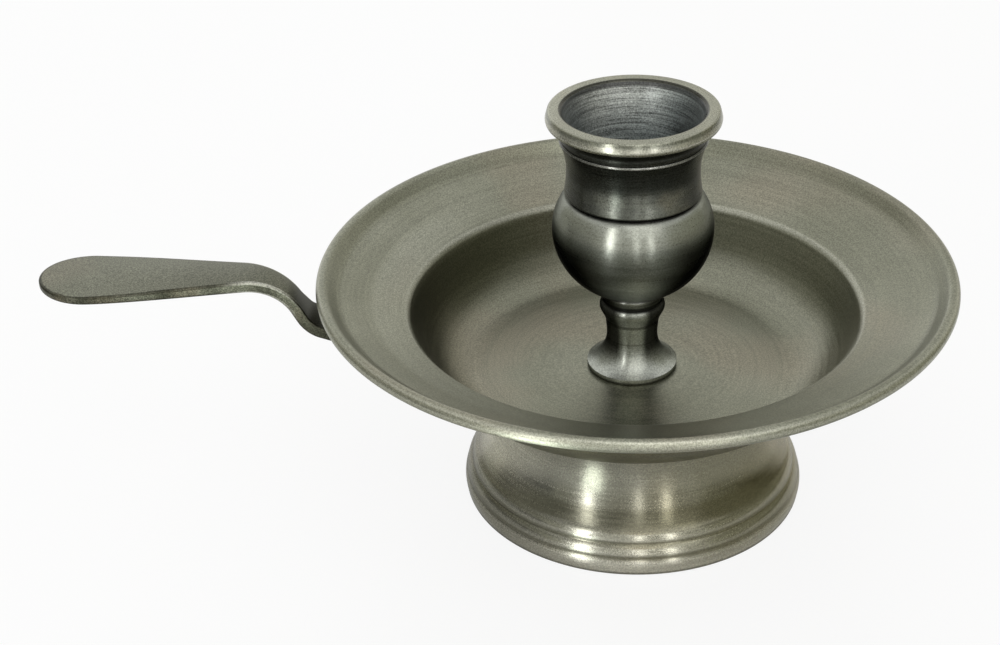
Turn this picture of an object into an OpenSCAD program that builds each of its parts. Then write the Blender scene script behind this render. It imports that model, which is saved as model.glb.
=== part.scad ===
// A pewter chamberstick: a broad dish on a hollow spun foot, a turned candle socket in the
// middle and a flat cast handle. Millimetres. The socket's axis is Z, the table is z = 0 and
// the handle points to -X.

/* [View] */
// Which piece is drawn
// Facets to a full circle
$fn = 96; // [48:24:144]

/* [Dish] */
// Diameter over the edge bead
dish_diameter = 121.6; // [110:0.2:132]
// Thickness of the metal in the dish
dish_wall = 1.2; // [1:0.1:1.5]
// From the floor up to the corner where the rim begins
well_depth = 13.6; // [10:0.2:18]
// Diameter of the corner between the well and the rim
well_diameter = 86.4; // [80:0.2:94]
// Diameter of the corner between the well and the floor
floor_diameter = 75.6; // [70:0.2:78]
// Radius in the corner of the floor
floor_fillet = 11; // [8:0.5:11.5]
// Radius on the edge of the well
well_edge_radius = 2; // [2:0.1:3.6]
// Slope of the rim, in degrees
rim_slope = 22; // [15:0.5:28]
// Diameter of the round bead along the edge
edge_bead = 2.6; // [2:0.1:3]
// Width of the hollow inside the edge bead
edge_cove_width = 2.6; // [1.8:0.1:3.4]
// Depth of the hollow inside the edge bead
edge_cove_depth = 0.35; // [0.2:0.05:0.6]
// How much lower the floor is in the middle
floor_dip = 0.3; // [0.1:0.05:0.4]

/* [Foot] */
// From the table to the underside of the dish
foot_height = 25.8; // [20:0.2:32]
// Diameter of the band the foot stands on
foot_diameter = 67; // [60:0.2:76]
// Thickness of the metal in the foot
foot_wall = 1.6; // [1.2:0.1:2.2]
// Diameter of the foot where it meets the dish
foot_top_diameter = 57; // [52:0.5:62]
// How far the foot's wall is drawn in at its waist
foot_draw_in = 1.5; // [0.8:0.1:2.5]
// Height of the plain band at the bottom
base_band_height = 3.6; // [2.8:0.1:5]
// Height of each of the two reeds above the band
reed_height = 2.5; // [1.8:0.1:2.8]
// How far each step of the reeds stands out
reed_step = 1.15; // [0.8:0.05:1.4]

/* [Handle] */
// How far the handle reaches beyond the edge of the dish
handle_length = 53.8; // [45:0.2:66]
// Width of the rounded end
handle_width = 17.4; // [14:0.2:22]
// Length of the rounded end
handle_round_length = 9.8; // [7:0.2:12]
// Width at the bend
handle_neck_width = 6.1; // [5.5:0.1:9]
// Width of the tongue where it is soldered to the well
handle_tongue_width = 17; // [12:0.5:22]
// Thickness of the casting at the bend
handle_thickness = 2.5; // [1.8:0.1:3.2]
// Thickness of the casting at its rounded end
handle_end_thickness = 1.8; // [1.2:0.1:2.4]
// Height of the handle's top above the top of the dish's edge
handle_rise = 0.8; // [0:0.1:4]
// How far the rounded end turns up
handle_tip_lift = 0.6; // [0.2:0.1:1.6]
// From the edge of the dish out to the start of the bend
handle_bend_reach = 14.2; // [12:0.1:18]
// Slope of the bend, in degrees
handle_bend_angle = 57; // [48:1:60]
// Outer radius of the upper bend
handle_bend_radius = 12.5; // [9:0.5:14]
// Length of the straight part between the two bends
handle_bend_length = 3.2; // [1:0.2:6]
// Inner radius of the lower bend
handle_low_radius = 4; // [3:0.5:7]
// Slope of the tongue under the rim, in degrees
handle_tongue_slope = 6.5; // [4:0.5:12]

/* [Candle socket] */
// Diameter of the straight bore, for a candle of 22.2 mm
socket_bore = 22.6; // [20:0.1:24]
// Height of the collar above the cup
collar_height = 17.3; // [15:0.1:22]
// Thickness of the collar at its waist
neck_wall = 1.2; // [1:0.1:2]
// How much wider the mouth is than the bore, on each side
mouth_flare = 2.1; // [1.4:0.1:2.8]
// Depth of the flared mouth
mouth_depth = 10.5; // [8:0.5:12]
// Width of the lip's flat top
lip_width = 2.9; // [2:0.1:3.4]
// Thickness of the lip
lip_thickness = 2.6; // [1.8:0.1:3.2]
// How far the collar's spigot goes down into the cup
spigot_length = 9; // [6:0.5:10]
// Thickness of the spigot
spigot_wall = 0.8; // [0.7:0.05:1.2]

/* [Cup and stem] */
// Height of the cup
cup_height = 22.4; // [19:0.2:26]
// Thickness of the cup at its mouth
cup_mouth_wall = 0.7; // [0.6:0.05:1]
// How much the cup swells beyond its mouth, on each side
cup_swell = 2.5; // [1.6:0.1:3]
// Depth of the candle's seat below the cup's mouth
candle_seat_depth = 11.4; // [10.4:0.2:13]
// Diameter of the small bead under the cup
cup_foot_diameter = 12.4; // [11.4:0.1:13]
// Height of the stem between the dish and the cup
stem_height = 14.5; // [12:0.1:18]
// Diameter of the stem at its waist
stem_waist_diameter = 9.8; // [9:0.1:11.6]
// Diameter of the flange at the top of the stem
stem_ring_diameter = 12.9; // [12.6:0.1:15]
// Diameter of the stem's spreading foot
stem_foot_diameter = 17.4; // [15:0.1:20]
// Diameter of the stem's tenon in the cup
tenon_diameter = 6.4; // [5:0.1:7]
// Length of the stem's tenon
tenon_length = 5; // [3:0.1:6]

/* [Fixing] */
// Diameter of the screw's shank
screw_diameter = 5; // [4:0.5:5]
// Length of the screw's shank
screw_length = 11; // [9:0.5:12]
// Diameter of the screw's head
screw_head_diameter = 9.2; // [8:0.1:10]
// Height of the screw's head
screw_head_height = 3; // [2.4:0.1:3.6]
// Width of the screw's slot
slot_width = 1.2; // [0.8:0.1:1.6]
// Depth of the screw's slot
slot_depth = 1.4; // [1:0.1:1.8]
// Diameter of the washer
washer_diameter = 12; // [11:0.1:16]
// Thickness of the washer
washer_thickness = 1; // [0.8:0.1:1.6]
// Gap round the screw in the dish and the washer
screw_clearance = 0.3; // [0.2:0.05:0.5]
// Gap beyond the ends of the screw and of the tenon
end_gap = 0.3; // [0.2:0.05:0.5]

/* [Hidden] */

// heights above the table
floor_z = foot_height + dish_wall;
stem_top_z = floor_z + stem_height;
cup_top_z = stem_top_z + cup_height;
lip_z = cup_top_z + collar_height;

// the dish's section: a floor, a wall, a rim and an edge bead, with arcs between them
dish_radius = dish_diameter / 2;
bead_radius = edge_bead / 2;
wall_angle = atan2(well_depth, (well_diameter - floor_diameter) / 2);
floor_tangent = floor_fillet * tan(wall_angle / 2);
edge_tangent = well_edge_radius * tan((wall_angle - rim_slope) / 2);
floor_corner = [floor_diameter / 2, floor_z];
rim_corner = [well_diameter / 2, floor_z + well_depth];
fillet_centre = floor_corner + [-floor_tangent, floor_fillet];
edge_centre = rim_corner - edge_tangent * dir(wall_angle) + well_edge_radius * dir(wall_angle - 90);
bead_r = dish_radius - bead_radius;
rim_z = rim_corner[1] + (bead_r - rim_corner[0]) * tan(rim_slope);
bead_z = rim_z;
rim_top_z = bead_z + bead_radius;

// the handle's section
handle_z = rim_top_z + handle_rise;
handle_end = dish_radius + handle_length;
bend_start = dish_radius + handle_bend_reach;

// a unit vector at angle a
function dir(a) = [cos(a), sin(a)];

// points on an arc round c, from angle a to angle b, in n steps
function arc(c, r, a, b, n) = [for (i = [0:n]) c + r * dir(a + (b - a) * i / n)];

// a list from its last item to its first
function reversed(list) = [for (i = [len(list) - 1:-1:0]) list[i]];

// the dish's upper side (t = 0) or its underside (t = dish_wall), from the floor to the bead
function dish_line(t) = concat(
    arc(fillet_centre, floor_fillet + t, -90, wall_angle - 90, 8),
    arc(edge_centre, well_edge_radius - t, wall_angle + 90, rim_slope + 90, 6)
);

module dish() {
    cove_r = bead_r - edge_cove_width;
    cove_z = rim_z - edge_cove_width * tan(rim_slope);
    color([0.62, 0.61, 0.56])
    difference() {
        rotate_extrude()
        polygon(concat(
            [[0, floor_z - floor_dip], [0.2 * floor_diameter, floor_z - floor_dip],
             [0.3 * floor_diameter, floor_z - 0.6 * floor_dip]],
            dish_line(0),
            [[cove_r, cove_z],
             [cove_r + edge_cove_width / 3, cove_z + edge_cove_width / 3 * tan(rim_slope) - edge_cove_depth]],
            arc([bead_r, bead_z], bead_radius, 205, -70, 14),
            [[bead_r - 1.2, bead_z - 1.2 * tan(rim_slope) - dish_wall / cos(rim_slope)]],
            reversed(dish_line(dish_wall)),
            [[0, foot_height]]
        ));
        cylinder(r = screw_diameter / 2 + screw_clearance, h = 3 * floor_z, center = true);
    }
}

// a shallow arc bulging out between two points of an outline, turning 44 degrees, in n steps
function bulge(from, to, n) =
    let (chord = to - from,
         radius = norm(chord) / (2 * sin(22)),
         facing = atan2(chord[1], chord[0]) + 90,
         centre = (from + to) / 2 - radius * cos(22) * dir(facing))
    arc(centre, radius, facing + 22, facing - 22, n);

module pedestal_foot() {
    base_r = foot_diameter / 2;
    top_r = foot_top_diameter / 2;
    waist_r = top_r - foot_draw_in;
    groove_r = base_r - 0.35;
    reeds_z = base_band_height + 2 * reed_height;
    reeds_r = groove_r - 2 * reed_step;
    waist_z = reeds_z + 0.62 * (foot_height - reeds_z);
    grooves = [for (i = [2:-1:0]) [groove_r - i * reed_step, base_band_height + i * reed_height]];
    wall = concat(
        [for (i = [8:-1:0]) [waist_r + foot_draw_in * pow(i / 8, 2), waist_z + (foot_height - waist_z) * i / 8]],
        [for (i = [1:12]) [waist_r + (reeds_r - waist_r) * pow(i / 12, 2), waist_z - (waist_z - reeds_z) * i / 12]]
    );
    color([0.62, 0.61, 0.56])
    rotate_extrude()
    polygon(concat(
        wall,
        bulge(grooves[0], grooves[1], 8),
        bulge(grooves[1], grooves[2], 8),
        bulge(grooves[2], [base_r - 0.1, 0.8], 8),
        [[base_r - 0.15, 0.3], [base_r - 0.5, 0],
         [base_r - foot_wall - 1, 0], [groove_r - foot_wall - 0.4, base_band_height]],
        reversed([for (p = wall) p - [foot_wall, 0]])
    ));
}

// the handle's side view, as (distance from the axis, height)
function handle_section() =
    let (t = handle_thickness,
         tip = 14,
         lift_radius = (tip * tip + handle_tip_lift * handle_tip_lift) / (2 * handle_tip_lift),
         lift_end = 270 + asin(tip / lift_radius),
         lift = arc([handle_end - tip, handle_z + lift_radius], lift_radius, lift_end, 270, 5),
         up = [bend_start, handle_z - handle_bend_radius],
         s1 = up + handle_bend_radius * dir(90 + handle_bend_angle),
         s2 = s1 - handle_bend_length * dir(handle_bend_angle),
         down = s2 + handle_low_radius * dir(90 + handle_bend_angle),
         s3 = down + handle_low_radius * dir(handle_tongue_slope - 90),
         s4 = s3 - dish_radius * dir(handle_tongue_slope))
    concat(
        lift,
        arc(up, handle_bend_radius, 90, 90 + handle_bend_angle, 10),
        arc(down, handle_low_radius, handle_bend_angle - 90, handle_tongue_slope - 90, 6),
        [s4, s4 - t * dir(90 + handle_tongue_slope)],
        reversed(arc(down, handle_low_radius + t, handle_bend_angle - 90, handle_tongue_slope - 90, 8)),
        reversed(arc(up, handle_bend_radius - t, 90, 90 + handle_bend_angle, 8)),
        [[handle_end - tip, handle_z - t], [handle_end, handle_z + handle_tip_lift - handle_end_thickness]]
    );

// half the handle's width at a distance from the axis
function handle_half(u) =
    let (head = handle_end - handle_round_length,
         neck = dish_radius + 3.4,
         s = (u - neck) / (head - neck),
         w = (neck - u) / (neck - well_diameter / 2))
    u > neck
        ? (handle_neck_width + (handle_width - handle_neck_width) * (0.5 * s + s * s * (1.5 - s))) / 2
        : (handle_neck_width + (handle_tongue_width - handle_neck_width) * min(1, w * (2 - w))) / 2;

module handle() {
    head = handle_end - handle_round_length;
    inner = well_diameter / 2 - 10;
    steps = 22;
    side = [for (i = [0:steps]) let (u = inner + (head - inner) * i / steps) [-u, handle_half(u)]];
    color([0.56, 0.55, 0.5])
    difference() {
        intersection() {
            translate([0, 0, -1]) linear_extrude(handle_z + handle_tip_lift + 2)
            union() {
                polygon(concat(side, reversed([for (p = side) [p[0], -p[1]]])));
                translate([-head, 0]) scale([2 * handle_round_length / handle_width, 1])
                circle(handle_width / 2);
            }
            translate([0, handle_width, 0]) rotate([90, 0, 0]) linear_extrude(2 * handle_width)
            polygon([for (p = handle_section()) [-p[0], p[1]]]);
        }
        rotate_extrude()
        polygon(concat(
            [[0, foot_height]],
            dish_line(dish_wall),
            [[bead_r, bead_z], [0, bead_z]]
        ));
    }
}

module socket_collar() {
    bore_r = socket_bore / 2;
    waist_r = bore_r + neck_wall;
    mouth_r = bore_r + mouth_flare;
    lip_r = mouth_r + lip_width;
    spigot_r = bore_r + spigot_wall;
    waist_z = cup_top_z + 5.3;
    flare_top_z = lip_z - 6.4;
    flare_rise = flare_top_z - waist_z;
    flare_out = 1.1;
    flare_radius = (flare_rise * flare_rise + flare_out * flare_out) / (2 * flare_out);
    flare_centre = [waist_r + flare_radius, waist_z];
    flare_end = 180 - asin(flare_rise / flare_radius);
    bore_top_z = lip_z - mouth_depth;
    funnel_radius = (mouth_depth * mouth_depth + mouth_flare * mouth_flare) / (2 * mouth_flare);
    funnel_centre = [bore_r + funnel_radius, bore_top_z];
    funnel_end = 180 - asin((mouth_depth - 0.4) / funnel_radius);
    top_round = lip_thickness * 0.22;
    low_round = lip_thickness * 0.36;
    bead_centre = [waist_r + flare_out - 0.2, flare_top_z + 0.4];
    cove_centre = [lip_r - 0.6, lip_z - lip_thickness - 2];
    color([0.5, 0.5, 0.48])
    rotate_extrude()
    polygon(concat(
        [[bore_r, cup_top_z - spigot_length]],
        reversed(arc(funnel_centre, funnel_radius, funnel_end, 180, 8)),
        [[mouth_r + 0.35, lip_z - 0.05]],
        arc([lip_r - top_round, lip_z - top_round], top_round, 90, 0, 5),
        arc([lip_r - low_round, lip_z - lip_thickness + low_round], low_round, 0, -90, 5),
        arc(cove_centre, 2, 95, 190, 6),
        arc(bead_centre, 0.4, 80, -80, 6),
        arc(flare_centre, flare_radius, flare_end, 180, 8),
        [[waist_r + 0.1, waist_z - 2.4], [waist_r + 0.4, cup_top_z + 0.8], [waist_r + 0.25, cup_top_z + 0.5],
         [waist_r - 0.1, cup_top_z + 0.4], [waist_r - 0.2, cup_top_z],
         [spigot_r, cup_top_z], [spigot_r, cup_top_z - spigot_length]]
    ));
}

module socket_cup() {
    spigot_r = socket_bore / 2 + spigot_wall;
    mouth_r = spigot_r + cup_mouth_wall;
    widest_r = mouth_r + cup_swell;
    widest_z = cup_top_z - 7.1;
    swell_radius = (7.1 * 7.1 + cup_swell * cup_swell) / (2 * cup_swell);
    swell_centre = [widest_r - swell_radius, widest_z];
    swell_top = asin(6.5 / swell_radius);
    bead_r = cup_foot_diameter / 2;
    neck_r = bead_r - 0.35;
    neck_z = stem_top_z + 2.3;
    lower_rise = widest_z - neck_z;
    lower_in = widest_r - neck_r;
    lower_radius = (lower_rise * lower_rise + lower_in * lower_in) / (2 * lower_in);
    lower_centre = [widest_r - lower_radius, widest_z];
    lower_end = -atan2(lower_rise, neck_r - lower_centre[0]);
    seat_z = cup_top_z - candle_seat_depth;
    color([0.5, 0.5, 0.48])
    rotate_extrude()
    polygon(concat(
        [[spigot_r, cup_top_z], [mouth_r - 0.45, cup_top_z], [mouth_r - 0.05, cup_top_z - 0.2]],
        arc(swell_centre, swell_radius, swell_top, 0, 8),
        arc(lower_centre, lower_radius, -6, lower_end, 14),
        arc([bead_r - 0.5, neck_z - 0.75], 0.5, 60, -60, 5),
        [[neck_r, stem_top_z + 0.6], [neck_r + 0.05, stem_top_z], [tenon_diameter / 2, stem_top_z],
         [tenon_diameter / 2, stem_top_z + tenon_length + end_gap], [0, stem_top_z + tenon_length + end_gap],
         [0, seat_z], [spigot_r, seat_z]]
    ));
}

module socket_stem() {
    waist_r = stem_waist_diameter / 2;
    ring_r = stem_ring_diameter / 2;
    spread_r = stem_foot_diameter / 2;
    tenon_r = tenon_diameter / 2;
    taper_z = stem_height - 0.9;
    taper_out = ring_r - 0.15 - waist_r;
    taper_drop = 5.2;
    taper_radius = (taper_drop * taper_drop + taper_out * taper_out) / (2 * taper_out);
    bell_out = spread_r - waist_r;
    bell_rise = 6;
    bell_radius = (bell_rise * bell_rise + bell_out * bell_out) / (2 * bell_out);
    bell_centre = [waist_r + bell_radius, bell_rise + 1];
    screw_end = screw_length - washer_thickness - dish_wall + floor_dip + end_gap;
    color([0.55, 0.55, 0.52])
    rotate_extrude()
    translate([0, floor_z - floor_dip])
    polygon(concat(
        [[screw_diameter / 2, 0], [spread_r - 0.2, 0], [spread_r, 0.3], [spread_r, 0.8]],
        reversed(arc(bell_centre, bell_radius, 180, 180 + asin(bell_rise / bell_radius), 10)),
        [[waist_r, taper_z + floor_dip - taper_drop - 0.8]],
        arc([waist_r + taper_radius, taper_z + floor_dip - taper_drop], taper_radius, 180,
            180 - asin(taper_drop / taper_radius), 8),
        [[ring_r, taper_z + floor_dip + 0.15], [ring_r, taper_z + floor_dip + 0.65],
         [ring_r - 0.25, taper_z + floor_dip + 0.9], [tenon_r, stem_height + floor_dip],
         [tenon_r, stem_height + floor_dip + tenon_length], [0, stem_height + floor_dip + tenon_length],
         [0, screw_end], [screw_diameter / 2, screw_end]]
    ));
}

module fixing_screw() {
    under_head = foot_height - washer_thickness;
    head_r = screw_head_diameter / 2;
    color([0.7, 0.7, 0.72])
    difference() {
        rotate_extrude()
        polygon(concat(
            [[0, under_head + screw_length], [screw_diameter / 2, under_head + screw_length],
             [screw_diameter / 2, under_head], [head_r, under_head],
             [head_r, under_head - screw_head_height * 0.45]],
            [[head_r - 0.9, under_head - screw_head_height * 0.88], [head_r - 2, under_head - screw_head_height],
             [0, under_head - screw_head_height]]
        ));
        translate([-screw_head_diameter, -slot_width / 2, under_head - screw_head_height - 1])
        cube([2 * screw_head_diameter, slot_width, slot_depth + 1]);
    }
}

module screw_washer() {
    color([0.66, 0.66, 0.68])
    translate([0, 0, foot_height - washer_thickness])
    difference() {
        cylinder(r = washer_diameter / 2, h = washer_thickness);
        translate([0, 0, -1]) cylinder(r = screw_diameter / 2 + screw_clearance, h = washer_thickness + 2);
    }
}

dish();
pedestal_foot();
handle();
socket_collar();
socket_cup();
socket_stem();
fixing_screw();
screw_washer();
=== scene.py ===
import math

import bmesh
import bpy
from mathutils import Matrix, Vector


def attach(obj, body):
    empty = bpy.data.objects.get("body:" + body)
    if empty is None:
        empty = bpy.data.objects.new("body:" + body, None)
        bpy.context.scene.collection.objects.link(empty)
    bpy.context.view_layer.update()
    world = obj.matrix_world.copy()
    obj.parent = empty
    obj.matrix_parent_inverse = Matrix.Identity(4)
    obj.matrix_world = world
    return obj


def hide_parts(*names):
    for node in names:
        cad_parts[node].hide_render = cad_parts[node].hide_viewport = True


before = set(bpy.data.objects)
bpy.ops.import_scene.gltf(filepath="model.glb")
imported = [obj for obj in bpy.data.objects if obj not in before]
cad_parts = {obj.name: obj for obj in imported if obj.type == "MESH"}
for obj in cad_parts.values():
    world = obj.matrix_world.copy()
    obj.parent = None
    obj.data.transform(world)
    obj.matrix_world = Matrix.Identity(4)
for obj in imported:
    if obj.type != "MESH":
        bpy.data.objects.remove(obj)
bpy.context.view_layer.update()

# The dish is one disc of pewter, spun over a form into a floor, a steep well and a sloping rim,
# with a round bead and a soft hollow inside it along the edge. Dull olive-grey satin, with fine
# rings from the spinning and a bright edge that is partly rubbed and partly a painted highlight.
MM = 0.001
SEGMENTS = 240


def arc(centre, radius, first, last, steps):
    """Points (distance from the axis, height) on an arc between two angles in degrees."""
    angles = [math.radians(first + (last - first) * i / steps) for i in range(steps + 1)]
    return [(centre[0] + radius * math.cos(a), centre[1] + radius * math.sin(a)) for a in angles]


def round_corner(bm, corner, radius):
    """Rounds the bend of an outline at a corner to a radius."""
    one, other = [edge.other_vert(corner).co - corner.co for edge in corner.link_edges]
    reach = radius / math.tan(one.angle(other) / 2)
    bmesh.ops.bevel(bm, geom=[corner], offset=reach, offset_type="OFFSET", segments=8,
                    profile=0.5, affect="VERTICES", material=-1)


def turned(name, outlines, longest=1.0):
    """A piece made on the lathe. Each outline takes the material slot of its place in the list.

    A point is (distance from the axis, height) in millimetres, with a third value where the
    corner is rounded to that radius."""
    whole = bmesh.new()
    for slot_index, outline in enumerate(outlines):
        bm = bmesh.new()
        line = [bm.verts.new((point[0] * MM, 0, point[1] * MM)) for point in outline]
        for pair in zip(line, line[1:]):
            bm.edges.new(pair)
        for corner, point in zip(line, outline):
            if len(point) == 3:
                round_corner(bm, corner, point[2] * MM)
        for edge in bm.edges[:]:
            cuts = int(edge.calc_length() / (longest * MM))
            if cuts > 0:
                bmesh.ops.subdivide_edges(bm, edges=[edge], cuts=cuts)
        bmesh.ops.spin(bm, geom=bm.verts[:] + bm.edges[:], cent=(0, 0, 0), axis=(0, 0, 1),
                       angle=math.tau, steps=SEGMENTS, use_merge=True)
        for face in bm.faces:
            face.material_index = slot_index
        part = bpy.data.meshes.new(name)
        bm.to_mesh(part)
        bm.free()
        whole.from_mesh(part)
        bpy.data.meshes.remove(part)
    bmesh.ops.remove_doubles(whole, verts=whole.verts, dist=0.001 * MM)
    bmesh.ops.recalc_face_normals(whole, faces=whole.faces)
    return finished(name, whole)


def finished(name, bm, sharp_angle=50):
    """Turns a bmesh into a smooth shaded object that keeps its sharp edges."""
    mesh = bpy.data.meshes.new(name)
    bm.to_mesh(mesh)
    bm.free()
    mesh.shade_smooth()
    mesh.set_sharp_from_angle(angle=math.radians(sharp_angle))
    piece = bpy.data.objects.new(name, mesh)
    bpy.context.scene.collection.objects.link(piece)
    return piece


def add(tree, kind, *inputs, **settings):
    """Adds a shader node, sets what is named, and fills its inputs in their order."""
    node = tree.nodes.new("ShaderNode" + kind)
    for name, value in settings.items():
        setattr(node, name, value)
    for socket, value in zip(node.inputs, inputs):
        if isinstance(value, bpy.types.NodeSocket):
            tree.links.new(value, socket)
        elif value is not None:
            socket.default_value = value
    return node


def math_of(tree, operation, *inputs):
    """The result of one Math node."""
    return add(tree, "Math", *inputs, operation=operation).outputs[0]


def blend_of(tree, factor, one, other, blend_type="MIX"):
    """The colour of one Mix node."""
    node = add(tree, "Mix", factor, data_type="RGBA", blend_type=blend_type)
    for socket, value in ((node.inputs[6], one), (node.inputs[7], other)):
        if isinstance(value, bpy.types.NodeSocket):
            tree.links.new(value, socket)
        else:
            socket.default_value = (*value, 1) if len(value) == 3 else value
    return node.outputs[2]


def ramp_of(tree, value, low, high, to_low=0.0, to_high=1.0):
    """A value moved softly from one range to another."""
    node = add(tree, "MapRange", value, low, high, to_low, to_high, interpolation_type="SMOOTHSTEP")
    return node.outputs[0]


def new_group(name, inputs, outputs):
    """An empty node group with named sockets: inputs as (name, default), outputs as (name, kind)."""
    tree = bpy.data.node_groups.new(name, "ShaderNodeTree")
    for label, default in inputs:
        socket = tree.interface.new_socket(label, in_out="INPUT", socket_type="NodeSocketFloat")
        socket.default_value = default
    for label, kind in outputs:
        tree.interface.new_socket(label, in_out="OUTPUT", socket_type=kind)
    return tree, tree.nodes.new("NodeGroupInput").outputs, tree.nodes.new("NodeGroupOutput").inputs


def lathe_place(tree):
    """Object coordinates as distance from the axis, height, and the two parts of the angle."""
    place = add(tree, "TexCoord").outputs["Object"]
    x, y, z = add(tree, "SeparateXYZ", place).outputs
    radius = math_of(tree, "SQRT", math_of(tree, "ADD", math_of(tree, "MULTIPLY", x, x),
                                           math_of(tree, "MULTIPLY", y, y)))
    safe = math_of(tree, "MAXIMUM", radius, 0.0001)
    return radius, z, math_of(tree, "DIVIDE", x, safe), math_of(tree, "DIVIDE", y, safe)


# Fine rings that the tool leaves, broken a little along their way round.
turning_marks, given, made = new_group(
    "turning_marks", [("Rings per metre", 2500.0), ("Breaks", 1.2)], [("Tone", "NodeSocketFloat")])
radius, height, cosine, sine = lathe_place(turning_marks)
along = add(turning_marks, "CombineXYZ",
            math_of(turning_marks, "MULTIPLY", radius, given["Rings per metre"]),
            math_of(turning_marks, "MULTIPLY", height, given["Rings per metre"]),
            math_of(turning_marks, "MULTIPLY", cosine, given["Breaks"])).outputs[0]
rings = add(turning_marks, "TexNoise", along,
            math_of(turning_marks, "MULTIPLY", sine, given["Breaks"]), 1.0, 4.0, 0.65,
            noise_dimensions="4D")
turning_marks.links.new(rings.outputs[0], made["Tone"])

# A ring-shaped mask round the axis, 1 near its radius and height and 0 beyond its width.
ring_mask, given, made = new_group(
    "ring_mask", [("Radius", 0.03), ("Height", 0.03), ("Width", 0.001)], [("Mask", "NodeSocketFloat")])
radius, height, cosine, sine = lathe_place(ring_mask)
across = math_of(ring_mask, "SUBTRACT", radius, given["Radius"])
upward = math_of(ring_mask, "SUBTRACT", height, given["Height"])
distance = math_of(ring_mask, "SQRT", math_of(ring_mask, "ADD",
                                              math_of(ring_mask, "MULTIPLY", across, across),
                                              math_of(ring_mask, "MULTIPLY", upward, upward)))
ring_mask.links.new(ramp_of(ring_mask, math_of(ring_mask, "DIVIDE", distance, given["Width"]),
                            0.4, 1.0, 1.0, 0.0), made["Mask"])

# A soft patch of painted light or painted shade on one side of a lathe piece: its direction and
# spread in degrees, and its height.
painted_side_shading, given, made = new_group(
    "painted_side_shading", [("Direction", 0.0), ("Spread", 18.0), ("Height", 0.03), ("Reach", 0.01)],
    [("Mask", "NodeSocketFloat")])
radius, height, cosine, sine = lathe_place(painted_side_shading)
facing = math_of(painted_side_shading, "RADIANS", given["Direction"])
toward = math_of(painted_side_shading, "ADD",
                 math_of(painted_side_shading, "MULTIPLY", cosine, math_of(painted_side_shading, "COSINE", facing)),
                 math_of(painted_side_shading, "MULTIPLY", sine, math_of(painted_side_shading, "SINE", facing)))
aside = math_of(painted_side_shading, "ABSOLUTE", math_of(painted_side_shading, "SUBTRACT", height, given["Height"]))
near = ramp_of(painted_side_shading, math_of(painted_side_shading, "DIVIDE", aside, given["Reach"]), 0.5, 1.0, 1.0, 0.0)
full = math_of(painted_side_shading, "COSINE", math_of(painted_side_shading, "RADIANS", given["Spread"]))
painted_side_shading.links.new(math_of(painted_side_shading, "MULTIPLY", ramp_of(painted_side_shading, toward, 0.4, full), near),
                     made["Mask"])

# The grain of dull metal, and the soft patches where it has tarnished or been handled.
surface_age, given, made = new_group(
    "surface_age", [("Grain per metre", 3500.0), ("Patches per metre", 32.0)],
    [("Grain", "NodeSocketFloat"), ("Patches", "NodeSocketFloat"), ("Warmth", "NodeSocketFloat")])
place = add(surface_age, "TexCoord").outputs["Object"]
grain = add(surface_age, "TexNoise", place, None, given["Grain per metre"], 2.0, 0.7)
patches = add(surface_age, "TexNoise", place, None, given["Patches per metre"], 3.0, 0.55)
shifted = add(surface_age, "VectorMath", place, (3.1, 1.7, 0.4), operation="ADD").outputs[0]
warmth = add(surface_age, "TexNoise", shifted, None, given["Patches per metre"], 2.0, 0.5)
surface_age.links.new(grain.outputs[0], made["Grain"])
surface_age.links.new(ramp_of(surface_age, patches.outputs[0], 0.35, 0.68), made["Patches"])
surface_age.links.new(ramp_of(surface_age, warmth.outputs[0], 0.45, 0.7), made["Warmth"])


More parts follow.
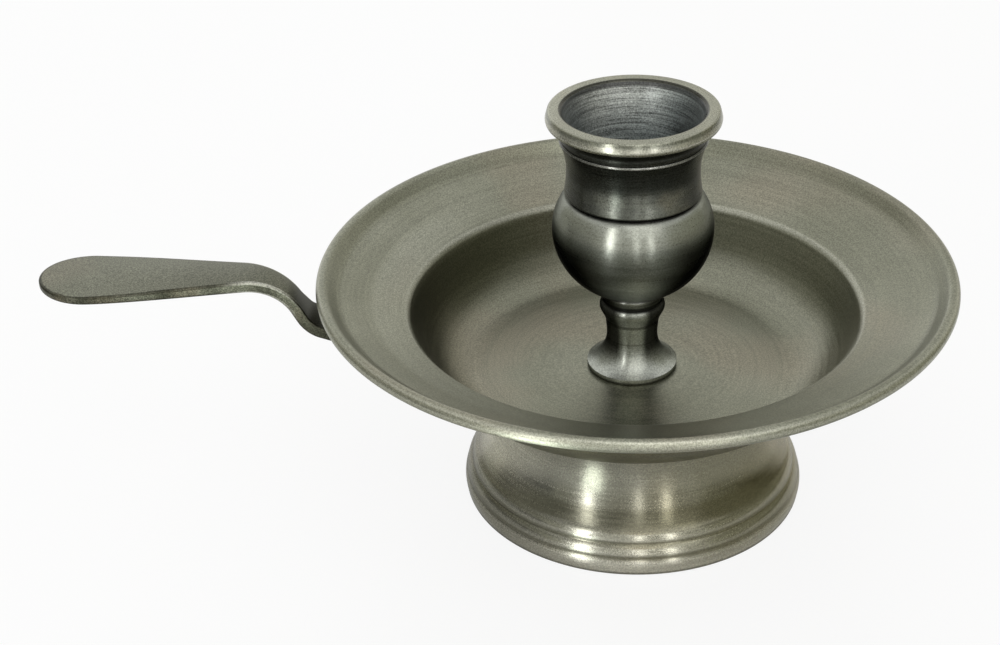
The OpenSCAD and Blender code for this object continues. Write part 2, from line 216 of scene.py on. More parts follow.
def pewter(name, colour, dark, warm, roughness, rings=None, anisotropy=0.0, grain=0.25,
           bands=(), painted_sides=(), relief=0.012, metallic=1.0, scratches=None, edge=1.0, patches=32.0):
    """Old pewter. A band is (radius, height, width, colour, strength) round the axis, in mm, and a
    side patch of painted light or shade (direction, spread, height, reach, colour, strength)."""
    material = bpy.data.materials.new(name)
    material.use_nodes = True
    tree = material.node_tree
    shader = tree.nodes["Principled BSDF"]
    shader.inputs["Metallic"].default_value = metallic
    shader.inputs["Anisotropic"].default_value = anisotropy
    shader.inputs["Anisotropic Rotation"].default_value = 0.25
    shader.inputs["Specular Tint"].default_value = (edge, edge, edge, 1)
    age = add(tree, "Group", node_tree=surface_age)
    age.inputs["Patches per metre"].default_value = patches
    fine = age.outputs["Grain"]
    tone = blend_of(tree, age.outputs["Patches"], dark, colour)
    tone = blend_of(tree, math_of(tree, "MULTIPLY", age.outputs["Warmth"], 0.6), tone, warm)
    marks = fine
    if rings:
        lines = add(tree, "Group", node_tree=turning_marks)
        lines.inputs["Rings per metre"].default_value = rings
        marks = math_of(tree, "ADD", math_of(tree, "MULTIPLY", lines.outputs["Tone"], 0.7),
                        math_of(tree, "MULTIPLY", fine, 0.3))
    for radius, height, width, band_colour, strength in bands:
        ring = add(tree, "Group", node_tree=ring_mask)
        ring.inputs["Radius"].default_value = radius * MM
        ring.inputs["Height"].default_value = height * MM
        ring.inputs["Width"].default_value = width * MM
        tone = blend_of(tree, math_of(tree, "MULTIPLY", ring.outputs["Mask"], strength), tone, band_colour)
    for direction, spread, height, reach, painted_patch_colour, strength in painted_sides:
        painted_patch = add(tree, "Group", node_tree=painted_side_shading)
        painted_patch.inputs["Direction"].default_value = direction
        painted_patch.inputs["Spread"].default_value = spread
        painted_patch.inputs["Height"].default_value = height * MM
        painted_patch.inputs["Reach"].default_value = reach * MM
        tone = blend_of(tree, math_of(tree, "MULTIPLY", painted_patch.outputs["Mask"], strength), tone, painted_patch_colour)
    speckle = ramp_of(tree, fine, 0.3, 0.7, 1.0 - grain, 1.0 + grain)
    depth = 0.6 * grain if scratches is None else scratches
    line_tone = ramp_of(tree, marks, 0.3, 0.7, 1.0 - depth, 1.0 + depth)
    factor = math_of(tree, "MULTIPLY", speckle, line_tone)
    grey = add(tree, "CombineColor", factor, factor, factor).outputs[0]
    tree.links.new(blend_of(tree, 1.0, tone, grey, "MULTIPLY"), shader.inputs["Base Color"])
    rough = math_of(tree, "ADD", ramp_of(tree, marks, 0.3, 0.7, roughness - 0.05, roughness + 0.07),
                    math_of(tree, "MULTIPLY", age.outputs["Patches"], -0.04))
    tree.links.new(rough, shader.inputs["Roughness"])
    bump = add(tree, "Bump", 0.6, relief * MM, None, marks)
    tree.links.new(bump.outputs[0], shader.inputs["Normal"])
    return material


def placed(piece, node, slot, *materials):
    """Gives a piece its materials, sets it under the root body and hides the CAD node that it stands for. The slot is
    not used.
    """
    for material in materials:
        piece.data.materials.append(material)
    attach(piece, "root")
    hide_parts(node)


FLOOR = 27.0
WALL = 1.2
FLOOR_DIP = 0.3
WELL_FOOT = (37.8, FLOOR)
WELL_EDGE = (43.2, FLOOR + 13.6)
WELL_FILLET = 11.0
EDGE_ROUND = 2.0
RIM_SLOPE = 22.0
BEAD = (59.5, WELL_EDGE[1] + (59.5 - WELL_EDGE[0]) * math.tan(math.radians(RIM_SLOPE)))
BEAD_ROUND = 1.3
COVE_WIDTH = 2.9
SCREW_HOLE = 2.8
wall_slope = math.degrees(math.atan2(WELL_EDGE[1] - WELL_FOOT[1], WELL_EDGE[0] - WELL_FOOT[0]))
rim_rise = math.tan(math.radians(RIM_SLOPE))


def beneath(corner, before, after):
    """The corner of the underside that lies one wall below a corner between two slopes."""
    one = Vector((math.sin(math.radians(before)), -math.cos(math.radians(before))))
    other = Vector((math.sin(math.radians(after)), -math.cos(math.radians(after))))
    return Vector(corner) + (one + other) / (1 + one.dot(other)) * WALL


under_foot = beneath(WELL_FOOT, 0, wall_slope)
under_edge = beneath(WELL_EDGE, wall_slope, RIM_SLOPE)
cove_start = (BEAD[0] - COVE_WIDTH, BEAD[1] - COVE_WIDTH * rim_rise)
dish = turned("pewter_dish", [
    [(SCREW_HOLE, FLOOR - FLOOR_DIP), (15.0, FLOOR - FLOOR_DIP), (22.7, FLOOR - 0.6 * FLOOR_DIP),
     (*WELL_FOOT, WELL_FILLET), (*WELL_EDGE, EDGE_ROUND), (*cove_start, 3.0)]
    + arc(BEAD, BEAD_ROUND, 140, -50, 16),
    arc(BEAD, BEAD_ROUND, -50, -70, 2)
    + [(BEAD[0] - 1.2, BEAD[1] - 1.2 * rim_rise - WALL / math.cos(math.radians(RIM_SLOPE))),
       (*under_edge, EDGE_ROUND - WALL), (*under_foot, WELL_FILLET + WALL),
       (SCREW_HOLE, FLOOR - WALL), (SCREW_HOLE, FLOOR - FLOOR_DIP)]])
# Painted highlights, partly rubbed wear, brighten the well edge and the bead, painted shade darkens the hollow inside
# the bead, and the well wall is a little darker. The side patches paint shade on the back left of the well wall and
# painted light on its left edge and on its right side.
satin = pewter("spun_satin_pewter", (0.25, 0.253, 0.197), (0.208, 0.211, 0.159), (0.258, 0.234, 0.176),
               0.36, rings=1600.0, anisotropy=0.25,
               bands=[(WELL_EDGE[0], WELL_EDGE[1], 1.2, (0.42, 0.42, 0.35), 0.6),
                      (BEAD[0] + 0.9, BEAD[1] + 0.4, 1.1, (0.46, 0.46, 0.38), 0.6),
                      (BEAD[0] - 2.0, BEAD[1] - 0.5, 2.4, (0.17, 0.172, 0.125), 0.4),
                      (28.7, FLOOR, 0.9, (0.2, 0.2, 0.15), 0.25),
                      (40.8, FLOOR + 6.8, 9.5, (0.08, 0.078, 0.05), 0.16)],
               painted_sides=[(158.0, 18.0, FLOOR + 7.6, 7.6, (0.04, 0.04, 0.022), 0.75),
                       (190.0, 20.0, WELL_EDGE[1] + 1.2, 2.2, (0.38, 0.385, 0.32), 0.4),
                       (0.0, 18.0, FLOOR + 7.0, 8.0, (0.38, 0.38, 0.31), 0.35)])
# The underside is darker than the top: painted shade under the rim, and tarnish where it is never rubbed.
underside = pewter("dull_underside_pewter_with_painted_shade", (0.15, 0.145, 0.1), (0.11, 0.105, 0.068), (0.16, 0.14, 0.08),
                   0.45, rings=1600.0)
placed(dish, "dish", "spun_pewter", satin, underside)

# The foot is a hollow spun shell, drawn in at the waist, with two reeds and a plain band rolled
# in at the bottom. It is soldered to the underside of the dish and half polished by dusting.
FOOT_R = 33.5
FOOT_TOP = FLOOR - WALL
FOOT_WALL = 1.6
BAND = 3.6
REED = 2.5
REED_STEP = 1.15
WAIST_R = 27.0
DRAWN_IN = 1.5
REEDS_TOP = BAND + 2 * REED
groove_r = FOOT_R - 0.35
reeds_r = groove_r - 2 * REED_STEP
waist_z = REEDS_TOP + 0.62 * (FOOT_TOP - REEDS_TOP)


def bulge(start, end, steps=12):
    """A shallow arc between two points of an outline, turning 44 degrees in all."""
    chord = Vector(end) - Vector(start)
    radius = chord.length / (2 * math.sin(math.radians(22)))
    facing = math.atan2(chord.y, chord.x) + math.pi / 2
    inward = radius * math.cos(math.radians(22))
    centre = ((start[0] + end[0]) / 2 - inward * math.cos(facing),
              (start[1] + end[1]) / 2 - inward * math.sin(facing))
    return arc(centre, radius, math.degrees(facing) + 22, math.degrees(facing) - 22, steps)


wall = [(WAIST_R + DRAWN_IN * (i / 12) ** 2, waist_z + (FOOT_TOP - waist_z) * i / 12) for i in range(12, 0, -1)]
wall += [(WAIST_R + (reeds_r - WAIST_R) * (i / 20) ** 2, waist_z - (waist_z - REEDS_TOP) * i / 20)
         for i in range(21)]
grooves = [(groove_r - i * REED_STEP, BAND + i * REED) for i in (2, 1, 0)]
foot = turned("pewter_foot", [
    wall[:-1] + bulge(grooves[0], grooves[1]) + bulge(grooves[1], grooves[2])[1:]
    + bulge(grooves[2], (FOOT_R - 0.1, 0.8))[1:]
    + [(FOOT_R - 0.15, 0.3), (FOOT_R - 0.5, 0.0), (FOOT_R - FOOT_WALL - 1, 0.0, 0.2), (groove_r - FOOT_WALL - 0.4, BAND)]
    + [(r - FOOT_WALL, z) for r, z in reversed(wall)] + wall[:1]], longest=0.8)
# Painted shade darkens the top of the foot under the dish, the hollow above the reeds, the grooves between the reeds
# and the bottom edge, and painted highlights brighten the reed crests and the band. The side patches paint a brown
# reflection on the front right, shade low on the left, and light on the left and on the right towards the back.
rubbed_and_painted_light = pewter("spun_rubbed_pewter_with_painted_light", (0.33, 0.33, 0.285), (0.25, 0.245, 0.2), (0.3, 0.265, 0.18),
                0.25, rings=2200.0, anisotropy=0.55, grain=0.2,
                bands=[(WAIST_R + DRAWN_IN, FOOT_TOP, 5.0, (0.08, 0.076, 0.05), 0.65),
                       (grooves[0][0] - 0.4, grooves[0][1] + 1.8, 3.0, (0.1, 0.097, 0.07), 0.7),
                       (grooves[1][0], grooves[1][1] + 0.2, 0.7, (0.17, 0.165, 0.12), 0.5),
                       (grooves[2][0], grooves[2][1] + 0.2, 0.7, (0.17, 0.165, 0.12), 0.5),
                       (FOOT_R, 0.6, 0.35, (0.1, 0.1, 0.08), 0.8),
                       (FOOT_R - 1.7, BAND + 1.5 * REED, 1.0, (0.62, 0.61, 0.53), 0.6),
                       (FOOT_R - 0.6, BAND + 0.5 * REED, 1.0, (0.62, 0.61, 0.53), 0.6),
                       (FOOT_R + 0.2, 2.0, 1.9, (0.66, 0.64, 0.56), 0.9)],
                painted_sides=[(-35.0, 18.0, 15.0, 20.0, (0.17, 0.15, 0.07), 0.5),
                        (195.0, 18.0, 4.0, 8.0, (0.14, 0.135, 0.105), 0.55),
                        (172.0, 18.0, 17.0, 10.0, (0.62, 0.6, 0.5), 0.75),
                        (25.0, 18.0, 14.0, 24.0, (0.6, 0.55, 0.42), 0.45)])
placed(foot, "pedestal_foot", "spun_pewter", rubbed_and_painted_light)

# The handle is a flat casting: a rounded paddle, a double bend and a tongue that is soldered
# to the outside of the well under the rim. Its faces are filed flat and its edges rounded.
HANDLE_TOP = BEAD[1] + BEAD_ROUND + 0.8
TIP = 114.6
TIP_LENGTH = 14.0
TIP_LIFT = 0.6
HANDLE_WIDTH = 17.4
ROUND_LENGTH = 9.8
NECK_WIDTH = 6.1
TONGUE_WIDTH = 17.0
NECK = 64.2
UPPER_BEND = 12.5
LOWER_BEND = 4.0
BEND_SLOPE = 57.0
BEND_LENGTH = 3.2
TONGUE_SLOPE = 6.5
HEAD = TIP - ROUND_LENGTH
TONGUE_END = 42.0
CROWN = 0.25
EDGE = 0.45
slope = math.radians(BEND_SLOPE)
upper = (75.0, HANDLE_TOP - UPPER_BEND)
upper_end = arc(upper, UPPER_BEND, 90 + BEND_SLOPE, 90, 1)[0]
lower_end = (upper_end[0] - BEND_LENGTH * math.cos(slope), upper_end[1] - BEND_LENGTH * math.sin(slope))
lower = arc(lower_end, LOWER_BEND, 90 + BEND_SLOPE, 90, 1)[0]
tongue_start = arc(lower, LOWER_BEND, TONGUE_SLOPE - 90, 0, 1)[0]
lift_radius = (TIP_LENGTH ** 2 + TIP_LIFT ** 2) / (2 * TIP_LIFT)


def handle_top(u):
    """Height of the handle's upper face at a distance from the axis."""
    if u > TIP - TIP_LENGTH:
        return HANDLE_TOP + lift_radius - math.sqrt(lift_radius ** 2 - (u - TIP + TIP_LENGTH) ** 2)
    if u > upper[0]:
        return HANDLE_TOP
    if u > upper_end[0]:
        return upper[1] + math.sqrt(UPPER_BEND ** 2 - (u - upper[0]) ** 2)
    if u > lower_end[0]:
        return upper_end[1] - (upper_end[0] - u) * math.tan(slope)
    if u > tongue_start[0]:
        return lower[1] - math.sqrt(LOWER_BEND ** 2 - (u - lower[0]) ** 2)
    return tongue_start[1] - (tongue_start[0] - u) * math.tan(math.radians(TONGUE_SLOPE))


def handle_half(u):
    """Half the handle's width at a distance from the axis."""
    if u > HEAD:
        return HANDLE_WIDTH / 2 * math.sqrt(max(0, 1 - ((u - HEAD) / ROUND_LENGTH) ** 2))
    if u > NECK:
        s = (u - NECK) / (HEAD - NECK)
        return (NECK_WIDTH + (HANDLE_WIDTH - NECK_WIDTH) * (0.5 * s + s * s * (1.5 - s))) / 2
    w = (NECK - u) / (NECK - WELL_EDGE[0])
    return (NECK_WIDTH + (TONGUE_WIDTH - NECK_WIDTH) * min(1, w * (2 - w))) / 2


def handle_thickness(u):
    """Thickness of the casting: thinner towards its rounded end, with solder where it meets the well."""
    solder = 0.5 * max(0, 1 - (u - TONGUE_END) / 1.6) ** 2
    return 2.5 - 0.7 * max(0, min(1, (u - upper[0]) / 30)) + solder


def edge_share(u, across):
    """How near a point is to the plan outline: 0 on the middle line and 1 on the outline."""
    along = max(0, (u - HEAD) / ROUND_LENGTH)
    return math.sqrt(across ** 2 + (1 - across ** 2) * along ** 2)


def edge_drop(u, across):
    """How far a face falls back where its edge is rounded."""
    into = max(0, EDGE - (1 - edge_share(u, across)) * handle_half(min(u, HEAD)))
    return EDGE - math.sqrt(EDGE ** 2 - min(into, EDGE) ** 2)


stations = 220
bm = bmesh.new()
bmesh.ops.create_grid(bm, x_segments=stations, y_segments=32, size=0.5)
edge_points = set()
for vert in bm.verts:
    s, t = vert.co.x + 0.5, math.copysign(1 - (1 - abs(2 * vert.co.y)) ** 2, vert.co.y)
    if s < 0.8:
        start = math.sqrt(TONGUE_END ** 2 - (t * TONGUE_WIDTH / 2) ** 2)
        u = start + (HEAD - start) * s / 0.8
    else:
        u = HEAD + ROUND_LENGTH * math.sin(math.pi / 2 * (s - 0.8) / 0.2)
    fall = CROWN * edge_share(u, t) ** 2 + edge_drop(u, t)
    if edge_drop(u, t) > 0:
        edge_points.add(vert)
    vert.co = Vector((-u, t * handle_half(u), handle_top(u) - fall)) * MM
upper_faces = bm.faces[:]
for face in upper_faces:
    face.material_index = 2 if any(vert in edge_points for vert in face.verts) else 0
made = bmesh.ops.extrude_face_region(bm, geom=upper_faces, use_keep_orig=True)
for face in set(bm.faces) - set(upper_faces) - set(made["geom"]):
    face.material_index = 1
for vert in [item for item in made["geom"] if isinstance(item, bmesh.types.BMVert)]:
    u = -vert.co.x / MM
    across = min(1, abs(vert.co.y) / MM / max(0.01, handle_half(u)))
    steepness = (handle_top(u + 0.1) - handle_top(u - 0.1)) / 0.2 if u < upper[0] else 0
    down = Vector((-steepness, 0, -1)).normalized()
    fall = CROWN * edge_share(u, across) ** 2 + 2 * edge_drop(u, across)
    vert.co += down * (handle_thickness(u) - fall) * MM
bmesh.ops.remove_doubles(bm, verts=bm.verts, dist=0.002 * MM)
bmesh.ops.dissolve_degenerate(bm, edges=bm.edges, dist=0.002 * MM)
bmesh.ops.recalc_face_normals(bm, faces=bm.faces)
handle = finished("pewter_handle", bm)
# The top is darker over the bend and the neck than on the paddle, and painted shade darkens the lower bend under the
# rim.
cast = pewter("cast_pewter", (0.2, 0.203, 0.156), (0.162, 0.165, 0.124), (0.21, 0.19, 0.142),
              0.4, grain=0.3, relief=0.006,
              bands=[(72.0, HANDLE_TOP, 24.0, (0.12, 0.122, 0.092), 0.6),
                     (62.0, HANDLE_TOP - 10.0, 9.0, (0.035, 0.035, 0.025), 0.8)])
# The side faces are a darker copy of the top: painted shade on the sides, over their filed finish.
filed_shaded_side = pewter("filed_side_pewter_with_painted_shade", (0.13, 0.132, 0.1), (0.06, 0.061, 0.044), (0.14, 0.12, 0.085),
                    0.42, grain=0.4, patches=140.0)
# The rounded edges are painted dark as a dark reflection, with a painted highlight on the edge at the bend.
dark_edge = pewter("dark_edge_pewter", (0.09, 0.09, 0.068), (0.05, 0.05, 0.036), (0.1, 0.09, 0.06),
                   0.4, grain=0.3, patches=140.0,
                   bands=[(71.0, HANDLE_TOP - 4.0, 9.0, (0.42, 0.42, 0.36), 0.8)])
placed(handle, "handle", "cast_pewter", cast, filed_shaded_side, dark_edge)

# The collar is the top of the candle socket: a cast ring turned on the lathe, with a thick lip,
# a thin bead, a flared neck and a spigot that sits in the cup. Its bore is scratched by candles.
LIP = 81.2
SEAM = 63.9
BORE = 11.3
NECK_R = 12.5
MOUTH = 13.4
LIP_R = 16.3
SPIGOT = 12.1
BORE_TOP = LIP - 10.5
waist = SEAM + 5.3
flare_radius = (5.6 ** 2 + 1.1 ** 2) / 2.2
flare = (NECK_R + flare_radius, waist)
flare_end = 180 - math.degrees(math.asin(5.6 / flare_radius))
mouth_depth = LIP - BORE_TOP
funnel_radius = (mouth_depth ** 2 + 2.1 ** 2) / 4.2
funnel = (BORE + funnel_radius, BORE_TOP)
funnel_end = 180 - math.degrees(math.asin((mouth_depth - 0.4) / funnel_radius))
inner_lip = arc(funnel, funnel_radius, funnel_end, 180, 14)
collar = turned("socket_collar_turned", [
    [inner_lip[0], (MOUTH + 0.35, LIP - 0.05, 0.15), (LIP_R - 0.45, LIP, 0.5), (LIP_R, LIP - 1.7, 0.6),
     (LIP_R - 0.15, LIP - 2.6, 0.7)]
    + arc((LIP_R - 0.6, LIP - 4.6), 2, 95, 190, 12)
    + arc((13.4, LIP - 6.0), 0.4, 80, -80, 8)
    + arc(flare, flare_radius, flare_end, 180, 16)
    + [(NECK_R + 0.1, waist - 2.4), (NECK_R + 0.4, SEAM + 0.8, 0.15), (NECK_R + 0.25, SEAM + 0.5),
       (NECK_R - 0.1, SEAM + 0.4, 0.1), (NECK_R - 0.2, SEAM), (SPIGOT, SEAM), (SPIGOT, SEAM - 9),
       (BORE, SEAM - 9)],
    inner_lip + [(BORE, SEAM - 9)]], longest=0.8)
TURNED = (0.26, 0.275, 0.244)
TURNED_DARK = (0.2, 0.212, 0.187)
TURNED_WARM = (0.25, 0.24, 0.195)
# Painted shade darkens the hollow under the lip, the upper neck, the mouth of the bore and the left and right flanks. A
# painted highlight, partly wear, brightens the lip's outer edge, and another marks the thin bead.
neck_metal = pewter("turned_neck_pewter", (0.25, 0.26, 0.228), (0.13, 0.136, 0.12), (0.25, 0.225, 0.165),
                    0.3, rings=2600.0, anisotropy=0.7, grain=0.25,
                    bands=[(14.7, LIP - 4.0, 2.4, (0.015, 0.015, 0.012), 0.97),
                           (13.0, LIP - 8.6, 5.2, (0.034, 0.037, 0.034), 0.88),
                           (LIP_R - 1.7, LIP, 2.2, (0.34, 0.34, 0.265), 0.75),
                           (MOUTH + 0.1, LIP - 0.2, 0.5, (0.03, 0.03, 0.025), 0.9),
                           (LIP_R, LIP - 1.8, 1.3, (0.6, 0.59, 0.5), 0.75),
                           (13.8, LIP - 5.9, 0.4, (0.4, 0.4, 0.37), 0.7),
                           (12.4, SEAM + 0.2, 0.8, (0.01, 0.01, 0.01), 0.95)],
                    painted_sides=[(0.0, 30.0, SEAM + 4.0, 14.0, (0.03, 0.03, 0.026), 0.7),
                            (180.0, 30.0, SEAM + 4.0, 14.0, (0.03, 0.03, 0.026), 0.7)],
                    patches=130.0)
# The bore's light tone is partly scraped metal and partly painted light, and painted shade darkens its top under the
# lip and its left and right sides.
scraped_and_painted_light = pewter("scraped_bore_pewter_with_painted_light", (0.56, 0.62, 0.61), (0.27, 0.3, 0.295), (0.5, 0.5, 0.46), 0.4,
                 rings=3200.0, anisotropy=0.5, grain=0.2, metallic=0.4, scratches=0.8,
                 bands=[(MOUTH, LIP - 0.8, 0.9, (0.03, 0.03, 0.028), 0.9)],
                 painted_sides=[(0.0, 18.0, 70.0, 22.0, (0.05, 0.055, 0.055), 0.85),
                         (180.0, 18.0, 70.0, 22.0, (0.05, 0.055, 0.055), 0.8)])
placed(collar, "socket_collar", "turned_pewter", neck_metal, scraped_and_painted_light)

# The cup is the round belly of the socket. The collar's spigot and the candle stand in it, and
# the dark line above it is the seam. Turned and half polished, so that it mirrors the room.
SWELL = 2.5
widest = (12.8 + SWELL, SEAM - 7.1)
swell_radius = (7.1 ** 2 + SWELL ** 2) / (2 * SWELL)
STEM_TOP = FLOOR + 14.5
CUP_BEAD = 6.2
CUP_NECK = CUP_BEAD - 0.35
neck_z = STEM_TOP + 2.3
lower_radius = ((widest[1] - neck_z) ** 2 + (widest[0] - CUP_NECK) ** 2) / (2 * (widest[0] - CUP_NECK))
lower_centre = (widest[0] - lower_radius, widest[1])
lower_last = -math.degrees(math.atan2(widest[1] - neck_z, CUP_NECK - lower_centre[0]))
SEAT = SEAM - 11.4
cup = turned("socket_cup_turned", [
    [(SPIGOT, SEAM), (12.35, SEAM, 0.1), (12.75, SEAM - 0.2)]
    + arc((widest[0] - swell_radius, widest[1]), swell_radius,
          math.degrees(math.asin(6.5 / swell_radius)), 0, 16)
    + arc(lower_centre, lower_radius, -4, lower_last, 26)
    + arc((CUP_BEAD - 0.5, neck_z - 0.75), 0.5, 60, -60, 8)
    + [(CUP_NECK, STEM_TOP + 0.6), (CUP_NECK + 0.05, STEM_TOP), (3.2, STEM_TOP), (3.2, STEM_TOP + 5.3),
       (0, STEM_TOP + 5.3)],
    [(0, SEAT), (SPIGOT, SEAT), (SPIGOT, SEAM)]], longest=0.8)
# Painted highlights brighten the top of the belly under the seam, its lower part and the small bead under it, and
# painted shade darkens its bottom and its left and right flanks.
belly_metal = pewter("turned_belly_pewter", TURNED, TURNED_DARK, TURNED_WARM, 0.33, rings=2600.0,
                     anisotropy=0.78, grain=0.16,
                     bands=[(12.4, SEAM + 0.1, 0.8, (0.01, 0.01, 0.01), 0.95),
                            (13.6, SEAM - 2.6, 3.6, (0.38, 0.39, 0.34), 0.7),
                            (11.5, neck_z + 4.5, 6.5, (0.52, 0.55, 0.51), 0.85),
                            (8.6, neck_z + 0.8, 4.2, (0.03, 0.031, 0.028), 0.15),
                            (CUP_BEAD, neck_z - 0.7, 0.9, (0.4, 0.41, 0.37), 0.9),
                            (CUP_NECK, STEM_TOP, 0.8, (0.02, 0.02, 0.018), 0.9)],
                     painted_sides=[(-10.0, 38.0, SEAM - 13.6, 11.4, (0.012, 0.012, 0.01), 0.87),
                             (184.0, 36.0, SEAM - 14.5, 12.0, (0.012, 0.012, 0.01), 0.9),
                             (-24.0, 36.0, neck_z + 4.5, 7.0, (0.015, 0.015, 0.012), 0.8),
                             (204.0, 34.0, neck_z + 4.5, 7.0, (0.015, 0.015, 0.012), 0.7)],
                     edge=0.3)
placed(cup, "socket_cup", "turned_pewter", belly_metal, scraped_and_painted_light)

# The stem joins cup and dish: a sharp flange over a tapered waist that spreads to a bell foot.
# Its tenon goes up into the cup and the screw comes into it from below.
STEM_FLOOR = FLOOR - FLOOR_DIP
STEM_WAIST = 4.9
FLANGE_R = 6.3
taper_out = FLANGE_R - 0.15 - STEM_WAIST
taper_radius = (5.2 ** 2 + taper_out ** 2) / (2 * taper_out)
bell_radius = (6.0 ** 2 + 3.8 ** 2) / 7.6
flange_z = STEM_TOP - 0.9
stem = turned("socket_stem_turned", [
    [(0, STEM_FLOOR + 9.4), (2.5, STEM_FLOOR + 9.4), (2.5, STEM_FLOOR), (8.5, STEM_FLOOR), (8.7, STEM_FLOOR + 0.3, 0.1),
     (8.7, STEM_FLOOR + 0.8, 0.1)]
    + arc((STEM_WAIST + bell_radius, STEM_FLOOR + 7), bell_radius,
          180 + math.degrees(math.asin(6 / bell_radius)), 180, 14)
    + [(STEM_WAIST, flange_z - 6.0)]
    + [(5.2, flange_z - 3.2, 2.5)]
    + arc((FLANGE_R - 1.5, flange_z - 0.6), 1.5, -25, 75, 12)
    + [(3.2, STEM_TOP),
       (3.2, STEM_TOP + 5), (0, STEM_TOP + 5)]], longest=0.6)
# Painted shade darkens the top of the stem under the belly, the groove under the flange, the foot where it meets the
# dish and the left and right flanks, and a painted dark line stands for the shade in a fine turned line at the bottom
# of the waist.
stem_metal = pewter("turned_stem_pewter", (0.5, 0.52, 0.465), (0.36, 0.375, 0.335), (0.46, 0.44, 0.36),
                    0.34, rings=3200.0, anisotropy=0.8, grain=0.25,
                    bands=[(5.5, STEM_TOP, 1.0, (0.03, 0.03, 0.027), 0.9),
                           (5.2, flange_z - 3.4, 0.5, (0.05, 0.05, 0.045), 0.6),
                           (5.1, STEM_FLOOR + 6.6, 0.3, (0.1, 0.1, 0.09), 0.7),
                           (9.0, STEM_FLOOR + 0.1, 0.6, (0.05, 0.05, 0.04), 0.8)],
                    painted_sides=[(-8.0, 50.0, STEM_FLOOR + 10.5, 9.0, (0.02, 0.02, 0.017), 0.9),
                            (180.0, 50.0, STEM_FLOOR + 10.5, 9.0, (0.02, 0.02, 0.017), 0.9)],
                    edge=0.3)
placed(stem, "socket_stem", "turned_pewter", stem_metal)

# The screw comes up through the dish into the stem, with a plain washer under its head. Both
# are zinc plated steel and show only from below.
plated = pewter("zinc_plated_steel", (0.55, 0.55, 0.54), (0.45, 0.45, 0.45), (0.55, 0.53, 0.48), 0.3, grain=0.15)
for node in ("fixing_screw", "screw_washer"):
    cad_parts[node].data.materials.clear()
    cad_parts[node].data.materials.append(plated)

# The camera stands in front of the holder and above it, as in the photograph.
CAMERA_DISTANCE = 0.31822
CAMERA_HEIGHT = 0.22243
FOCAL_PIXELS = 1884.6
FRAME_WIDTH = 1000
FRAME_HEIGHT = 645
AIM = (430.0, 262.0)
turn, pitch, yaw, roll = [math.radians(a) for a in (3.988, 28.445, -2.992, -2.958)]
lens = bpy.data.cameras.new("camera")
camera = bpy.data.objects.new("camera", lens)
bpy.context.scene.collection.objects.link(camera)
bpy.context.scene.camera = camera
camera.location = (-CAMERA_DISTANCE * math.sin(turn), -CAMERA_DISTANCE * math.cos(turn), CAMERA_HEIGHT)
forward = Vector((math.sin(yaw) * math.cos(pitch), math.cos(yaw) * math.cos(pitch), -math.sin(pitch)))
level = forward.cross(Vector((0, 0, 1))).normalized()
above = level.cross(forward)
side = level * math.cos(roll) + above * math.sin(roll)
top = above * math.cos(roll) - level * math.sin(roll)
camera.rotation_euler = Matrix((side, top, -forward)).transposed().to_euler()
lens.sensor_width = 36
lens.lens = FOCAL_PIXELS * lens.sensor_width / FRAME_WIDTH
lens.shift_x = (FRAME_WIDTH / 2 - AIM[0]) / FRAME_WIDTH
lens.shift_y = (AIM[1] - FRAME_HEIGHT / 2) / FRAME_WIDTH
lens.clip_start = 0.01

# The studio: a pale floor, a white background, and soft lamps at a plain level.
FLOOR_SIZE = 3.0
bm = bmesh.new()
bmesh.ops.create_grid(bm, x_segments=1, y_segments=1, size=FLOOR_SIZE / 2)
floor = finished("studio_floor", bm)
paper = bpy.data.materials.new("pale_floor")
paper.use_nodes = True
tree = paper.node_tree
tree.nodes.clear()
polished = add(tree, "BsdfPrincipled", (0.86, 0.86, 0.85, 1), 0.0, 0.25, 1.5)
white = add(tree, "Emission", (1, 1, 1, 1), 1.0)
path = add(tree, "LightPath").outputs
in_metal = math_of(tree, "MAXIMUM", path["Is Glossy Ray"], path["Is Transmission Ray"])
seen = math_of(tree, "MAXIMUM", math_of(tree, "MULTIPLY", path["Is Camera Ray"], 0.88),
               math_of(tree, "MULTIPLY", in_metal, 0.05))
mixed = add(tree, "MixShader", seen, polished.outputs[0], white.outputs[0])
tree.links.new(mixed.outputs[0], add(tree, "OutputMaterial").inputs["Surface"])
floor.data.materials.append(paper)

world = bpy.data.worlds.new("studio")
bpy.context.scene.world = world
world.use_nodes = True
tree = world.node_tree
tree.nodes.clear()
room = add(tree, "Background", (0.93, 0.94, 0.95, 1), 0.9)
white = add(tree, "Background", (1, 1, 1, 1), 1.0)
path = add(tree, "LightPath").outputs
seen = math_of(tree, "MAXIMUM", path["Is Camera Ray"],
               math_of(tree, "MAXIMUM", path["Is Glossy Ray"], path["Is Transmission Ray"]))
mixed = add(tree, "MixShader", seen, room.outputs[0], white.outputs[0])
tree.links.new(mixed.outputs[0], add(tree, "OutputWorld").inputs["Surface"])


def soft_lamp(name, azimuth, elevation, distance, width, height, radiance, colour=(1, 1, 1)):
    """An area lamp aimed at the holder. Azimuth 0 is behind the camera and grows to the right."""
    data = bpy.data.lights.new(name, "AREA")
    data.shape = "RECTANGLE"
    data.size = width
    data.size_y = height
    data.energy = radiance * math.pi * width * height
    data.color = colour
    lamp = bpy.data.objects.new(name, data)
    a, e = math.radians(azimuth), math.radians(elevation)
    outward = Vector((math.sin(a) * math.cos(e), -math.cos(a) * math.cos(e), math.sin(e)))
    target = Vector((0, 0, 0.045))
    lamp.location = target + outward * distance
    lamp.rotation_euler = outward.to_track_quat("Z", "Y").to_euler()
    bpy.context.scene.collection.objects.link(lamp)
    return lamp


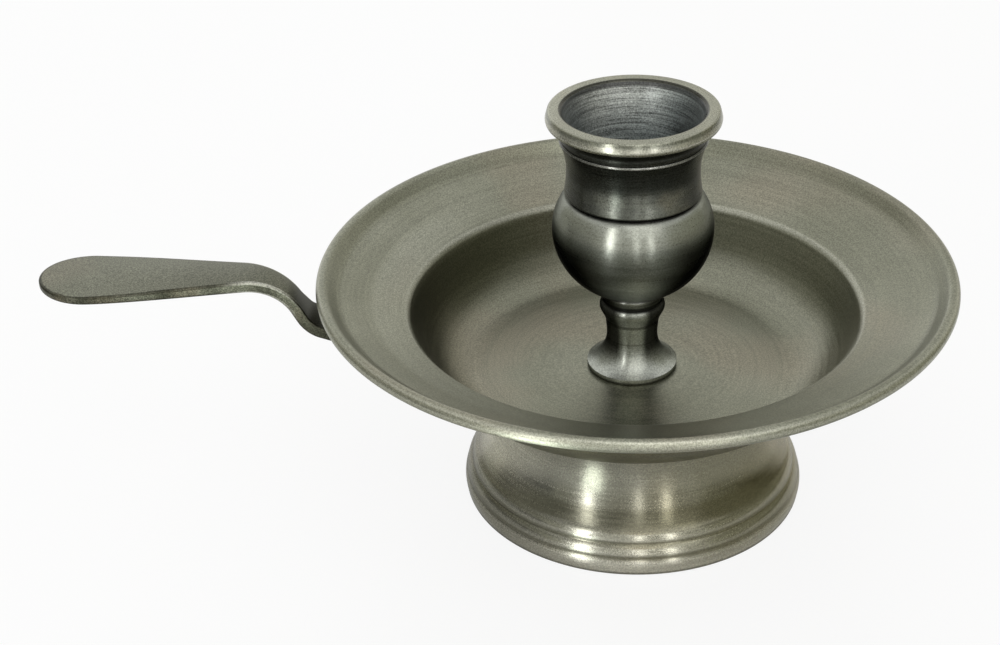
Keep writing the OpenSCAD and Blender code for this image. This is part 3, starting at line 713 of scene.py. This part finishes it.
soft_lamp("window_left", -35, 17, 0.9, 0.09, 0.58, 9.0)
soft_lamp("window_middle", 1.6, 11, 0.9, 0.05, 0.46, 4.0)
soft_lamp("window_right", 21.4, 11, 0.9, 0.07, 0.46, 4.0)
soft_lamp("window_head", 17, 41, 0.9, 0.75, 0.45, 0.95)
soft_lamp("top_soft", 8, 62, 0.9, 0.5, 0.35, 1.0)
soft_lamp("back_soft", -178, 20, 0.9, 1.4, 0.35, 0.25)


def side_card(name, azimuth, distance, width, height, colour):
    """A card beside the holder that only its mirrored light shows."""
    bm = bmesh.new()
    bmesh.ops.create_grid(bm, x_segments=1, y_segments=1, size=0.5)
    a = math.radians(azimuth)
    for vert in bm.verts:
        along, up = -vert.co.x * width, (vert.co.y + 0.5) * height
        vert.co = (distance * math.sin(a) + along * math.cos(a), -distance * math.cos(a) + along * math.sin(a), up)
    card = finished(name, bm)
    only_mirrored(card, colour)


def only_mirrored(card, colour, strength=1.0):
    """Paints a card with its own light and hides it from the camera."""
    card.visible_camera = False
    paint = bpy.data.materials.new(card.name)
    paint.use_nodes = True
    tree = paint.node_tree
    tree.nodes.clear()
    glow = add(tree, "Emission", (*colour, 1), strength)
    clear = add(tree, "BsdfTransparent")
    shown = add(tree, "MixShader", add(tree, "NewGeometry").outputs["Backfacing"], glow.outputs[0],
                clear.outputs[0])
    tree.links.new(shown.outputs[0], add(tree, "OutputMaterial").inputs["Surface"])
    card.data.materials.append(paint)


side_card("brown_card_right", 98, 0.55, 1.1, 0.07, (0.14, 0.13, 0.06))
side_card("grey_card_back_right", 150, 0.7, 0.8, 0.45, (0.85, 0.84, 0.78))
side_card("dark_card_left", -85, 0.55, 0.5, 0.12, (0.14, 0.14, 0.13))
side_card("room_front", 0, 1.25, 3.0, 1.3, (0.58, 0.58, 0.53))
side_card("room_left", -90, 1.3, 2.5, 1.0, (0.42, 0.42, 0.36))
side_card("room_right", 90, 1.3, 2.5, 1.0, (0.42, 0.42, 0.34))

# The strip of window light that lies on the table in front of the foot, as the foot mirrors it.
STRIP_AZIMUTH = -33.0
bm = bmesh.new()
bmesh.ops.create_grid(bm, x_segments=1, y_segments=1, size=0.5)
for vert in bm.verts:
    far = vert.co.y + 0.5
    along, across = 26 + 220 * far, -vert.co.x * (8 + 62 * far)
    vert.co = Vector((-9.2 + across, -25.7 - along, 0.3)) * MM
bmesh.ops.rotate(bm, verts=bm.verts, cent=(-0.0092, -0.0257, 0),
                 matrix=Matrix.Rotation(math.radians(STRIP_AZIMUTH), 3, "Z"))
strip = finished("window_strip", bm)
strip.visible_diffuse = False
strip.visible_shadow = False
only_mirrored(strip, (0.93, 1.0, 0.95), 5.0)

scene = bpy.context.scene
scene.view_settings.view_transform = "Standard"
